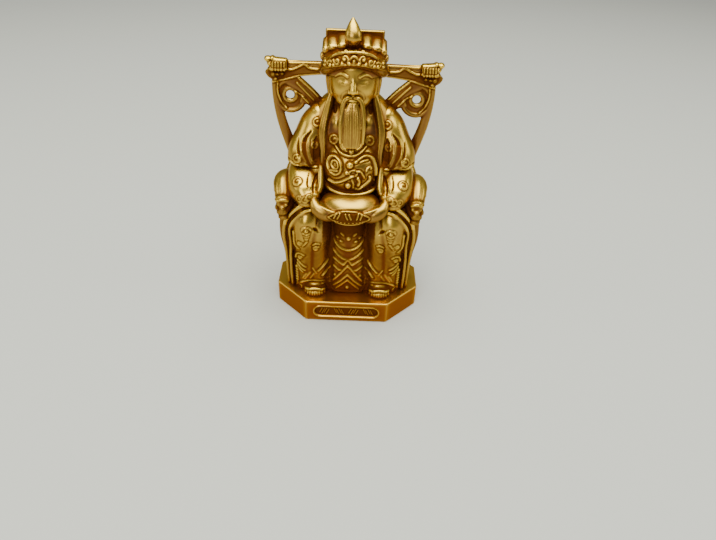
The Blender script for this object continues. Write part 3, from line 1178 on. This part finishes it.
# Three looks round a corner, near, wide and far: how far the cells are blurred, how far above the skin
# they are read, the filled share of an open place, the range above it, and the weight of the look.
LOOKS = ((0.8, 0.5, 0.27, 0.45, 0.8), (2.4, 1.5, 0.30, 0.5, 0.7), (6.0, 4, 0.26, 0.4, 0.8))
cells = filled_cells([*pieces.values(), plinth]).astype(float)
blurs = [blurred(cells, look[0]) for look in LOOKS]
print("filled share of the grid", round(cells.mean(), 3))

# %% Recess and edge of every corner
BEND = 0.05


def hollows(cast, crowding):
    """Recess and edge, from 0 to 1. Recess: the carved grooves, a share of the crowding at three
    distances, and the bend, which is how far the skin lies below the mean of its surroundings. Edge:
    what bends out, stands free or looks up, and what was made light."""
    fills = [
        (read(blur, cast.corners + lift * cast.normals) - base) / span
        for blur, (_, lift, base, span, _) in zip(blurs, LOOKS)]
    bent = ((cast.average(cast.corners, 6) - cast.corners) * cast.normals).sum(1) / BEND
    crowded = crowding * sum(look[-1] * clamp(fill) for look, fill in zip(LOOKS, fills))
    recess = 0.9 * clamp(cast.dark) + crowded + 0.35 * clamp(bent)
    upward = clamp((cast.normals[:, 2] - 0.3) / 0.5)
    edge = 0.7 * clamp(-bent * 0.8) + 0.25 * clamp(-fills[0] * 2.2) + 0.7 * upward + cast.light
    return cast.average(clamp(recess), 2), cast.average(clamp(edge * (1 - recess)), 3)

# %% [markdown]
# Gold
#
# One group mixes the colour of the gilding: ochre by default, pale where an edge is polished, brown in
# a recess and redder toward the foot, with a slow variation over the surface. It reads the two values
# kept on the corners. The metal itself stays a plain Principled shader in each material. Painting a
# picture onto the surface would tie the finish to one unwrapping of it.

# %% Nodes and their inputs
def fill(tree, node, inputs):
    """Sets inputs of a node of the tree to values, or links them where the value is a socket."""
    for name, value in inputs:
        if isinstance(value, bpy.types.NodeSocket):
            tree.links.new(value, node.inputs[name])
        else:
            node.inputs[name].default_value = value


def add_node(tree, kind, inputs=(), **settings):
    """A new node of the tree. Its settings are made before its inputs are filled."""
    node = tree.nodes.new(kind)
    for name, value in settings.items():
        setattr(node, name, value)
    fill(tree, node, inputs)
    return node


# %% Patina group
# the heights in metres between which the foot's colour comes in, and its share at the lower one
FOOT_FROM, FOOT_TO, FOOT_SHARE = 0.046, 0.032, 0.95
RECESS_FROM, RECESS_TO = 0.18, 0.95
SLOW_SCALE, FINE_SCALE = 90, 900


def patina_group():
    """Inputs: four colours and the polish. Outputs: colour, roughness and the height of the grain."""
    group = bpy.data.node_groups.new("patina", "ShaderNodeTree")
    for in_out, kind, names in (
            ("INPUT", "Color", ("Gold", "Bright", "Deep", "Foot")), ("INPUT", "Float", ("Polish",)),
            ("OUTPUT", "Color", ("Color",)), ("OUTPUT", "Float", ("Roughness", "Height"))):
        for name in names:
            group.interface.new_socket(name, in_out=in_out, socket_type="NodeSocket" + kind)
    given = add_node(group, "NodeGroupInput").outputs
    place = add_node(group, "ShaderNodeTexCoord").outputs["Object"]

    def reading(name):
        """A value kept on the corners."""
        return add_node(group, "ShaderNodeAttribute", attribute_name=name).outputs["Fac"]

    def arithmetic(operation, *values):
        """One sum of two or three numbers or sockets."""
        return add_node(group, "ShaderNodeMath", enumerate(values), operation=operation).outputs[0]

    def mixed(share, first, second):
        """First where the share is 0 and second where it is 1."""
        inputs = ("Factor", share), ("A", first), ("B", second)
        return add_node(group, "ShaderNodeMix", inputs, data_type="RGBA").outputs["Result"]

    def ramp(value, start, end, top=1.0):
        """A smooth step from 0 at the start to its top at the end."""
        inputs = ("Value", value), ("From Min", start), ("From Max", end), ("To Max", top)
        node = add_node(group, "ShaderNodeMapRange", inputs, interpolation_type="SMOOTHSTEP")
        return node.outputs["Result"]

    def noise(scale, detail):
        """Clouds from 0 to 1: the scale is their number to a metre, the detail their finer layers."""
        inputs = ("Scale", scale), ("Detail", detail), ("Vector", place)
        return add_node(group, "ShaderNodeTexNoise", inputs).outputs["Fac"]

    slow, fine = noise(SLOW_SCALE, 3), noise(FINE_SCALE, 2)
    share = ramp(arithmetic("ADD", reading("recess"), arithmetic("MULTIPLY_ADD", slow, 0.16, -0.08)),
                 RECESS_FROM, RECESS_TO)
    edge = arithmetic("MINIMUM", arithmetic("MULTIPLY", reading("edge"), arithmetic("ADD", slow, 0.55)), 1.0)
    height = add_node(group, "ShaderNodeSeparateXYZ", [(0, place)]).outputs["Z"]
    plain = mixed(ramp(height, FOOT_FROM, FOOT_TO, FOOT_SHARE), given["Gold"], given["Foot"])
    colour = mixed(share, mixed(edge, plain, given["Bright"]), given["Deep"])
    rough = arithmetic("MULTIPLY_ADD", share, 0.45, given["Polish"])
    add_node(group, "NodeGroupOutput", (
        ("Color", colour),
        ("Roughness", arithmetic("ADD", rough, arithmetic("MULTIPLY_ADD", slow, 0.12, -0.06))),
        ("Height", arithmetic("ADD", arithmetic("MULTIPLY", fine, 0.4), slow))))
    return group


patina = patina_group()

# %% Gilding of the figure and of the plinth
GILT = {"Gold": (0.19, 0.076, 0.024, 1), "Bright": (0.83, 0.53, 0.065, 1), "Deep": (0.135, 0.036, 0.003, 1),
        "Foot": (0.14, 0.034, 0.008, 1)}
PLINTH_GILT = {**GILT, "Bright": (0.72, 0.40, 0.05, 1), "Foot": (0.25, 0.062, 0.004, 1)}
GLANCING_TINT = (1, 0.8, 0.5, 1)
GRAIN_STRENGTH, GRAIN_DEPTH = 0.05, 0.0004


def gilding(name, polish, colours):
    """A metal material whose colour, roughness and grain come from the patina group."""
    material = bpy.data.materials.new(name)
    material.use_nodes = True
    tree = material.node_tree
    worn = add_node(tree, "ShaderNodeGroup", [*colours.items(), ("Polish", polish)], node_tree=patina)
    relief = add_node(tree, "ShaderNodeBump", (
        ("Strength", GRAIN_STRENGTH), ("Distance", GRAIN_DEPTH), ("Height", worn.outputs["Height"])))
    fill(tree, tree.nodes["Principled BSDF"], (
        ("Metallic", 1), ("Specular Tint", GLANCING_TINT), ("Base Color", worn.outputs["Color"]),
        ("Roughness", worn.outputs["Roughness"]), ("Normal", relief.outputs["Normal"])))
    return material


# %% Pieces in metres, on the frame
def finish_piece(name, cast, material, node, crowding=1.0):
    """The skin as an object in metres, with its two values on the corners, riding on the frame."""
    mesh = make_mesh(name, cast.corners * SHARE + [0, 0, PLINTH_TOP], cast.quads, cast.fans)
    for attribute, values in zip(("recess", "edge"), hollows(cast, crowding)):
        mesh.attributes.new(attribute, "FLOAT", "POINT").data.foreach_set("value", values.astype(np.float32))
    mesh.polygons.foreach_set("use_smooth", np.ones(len(mesh.polygons), bool))
    mesh.materials.append(material)
    piece = bpy.data.objects.new(name, mesh)
    bpy.context.scene.collection.objects.link(piece)
    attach(piece, "root")
    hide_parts(node)
    triangles = 2 * len(cast.quads) + len(cast.fans)
    print(name, triangles, "triangles")
    return triangles


PLINTH_CROWDING = 0.1
gilt, gilt_plinth = gilding("gilt", 0.29, GILT), gilding("gilt_plinth", 0.3, PLINTH_GILT)
total = finish_piece("plinth_block", plinth, gilt_plinth, "plinth", PLINTH_CROWDING)
for name, cast in pieces.items():
    total += finish_piece(name, cast, gilt, "figure")
print("all together", total)

# %% [markdown]
# Floor and light
#
# Polished gold shows its surroundings, so the light is one large soft panel above and three small
# lamps, in front and at each side, with a dim even room between them. Bare point lamps would leave
# only pinpricks on the metal.

# %% Floor
FLOOR_REACH, FLOOR_COLOUR, FLOOR_ROUGHNESS = 3, (0.5, 0.495, 0.49, 1), 0.9
square = FLOOR_REACH * np.array([[-1, -1, 0], [1, -1, 0], [1, 1, 0], [-1, 1, 0]])
sheet = bpy.data.objects.new("floor", make_mesh("floor", square, np.array([[0, 1, 2, 3]])))
paint = bpy.data.materials.new("floor")
paint.use_nodes = True
fill(paint.node_tree, paint.node_tree.nodes["Principled BSDF"], (
    ("Base Color", FLOOR_COLOUR), ("Roughness", FLOOR_ROUGHNESS)))
sheet.data.materials.append(paint)
bpy.context.scene.collection.objects.link(sheet)
print("floor", 2 * FLOOR_REACH, "m wide")

# %% Lamps and room
DAYLIGHT = (0.93, 0.97, 0.83)
AIM = (0, 0, 0.06)
ROOM_COLOUR, ROOM_STRENGTH = (0.95, 0.93, 0.9, 1), 0.24


def soft_light(name, place, size, power):
    """A square lamp at a place, turned to face the figure."""
    lamp = bpy.data.objects.new(name, bpy.data.lights.new(name, "AREA"))
    lamp.data.size = size
    lamp.data.energy = power
    lamp.data.color = DAYLIGHT
    lamp.location = place
    direction = np.subtract(AIM, place)
    tilt = math.acos(-direction[2] / np.linalg.norm(direction))
    lamp.rotation_mode = "XYZ"
    lamp.rotation_euler = (tilt, 0, math.atan2(direction[1], direction[0]) + 1.5 * math.pi)
    bpy.context.scene.collection.objects.link(lamp)


soft_light("sky panel", (0.02, -0.12, 0.95), 1.0, 23)
soft_light("front lamp", (-0.3, -0.8, 0.45), 0.4, 3.5)
soft_light("left lamp", (-0.8, -0.15, 0.35), 0.4, 1.6)
soft_light("right lamp", (0.8, -0.1, 0.4), 0.4, 1.6)
world = bpy.data.worlds.new("room")
world.use_nodes = True
fill(world.node_tree, world.node_tree.nodes["Background"], (
    ("Color", ROOM_COLOUR), ("Strength", ROOM_STRENGTH)))
bpy.context.scene.world = world
print("lamps", len(bpy.data.lights))
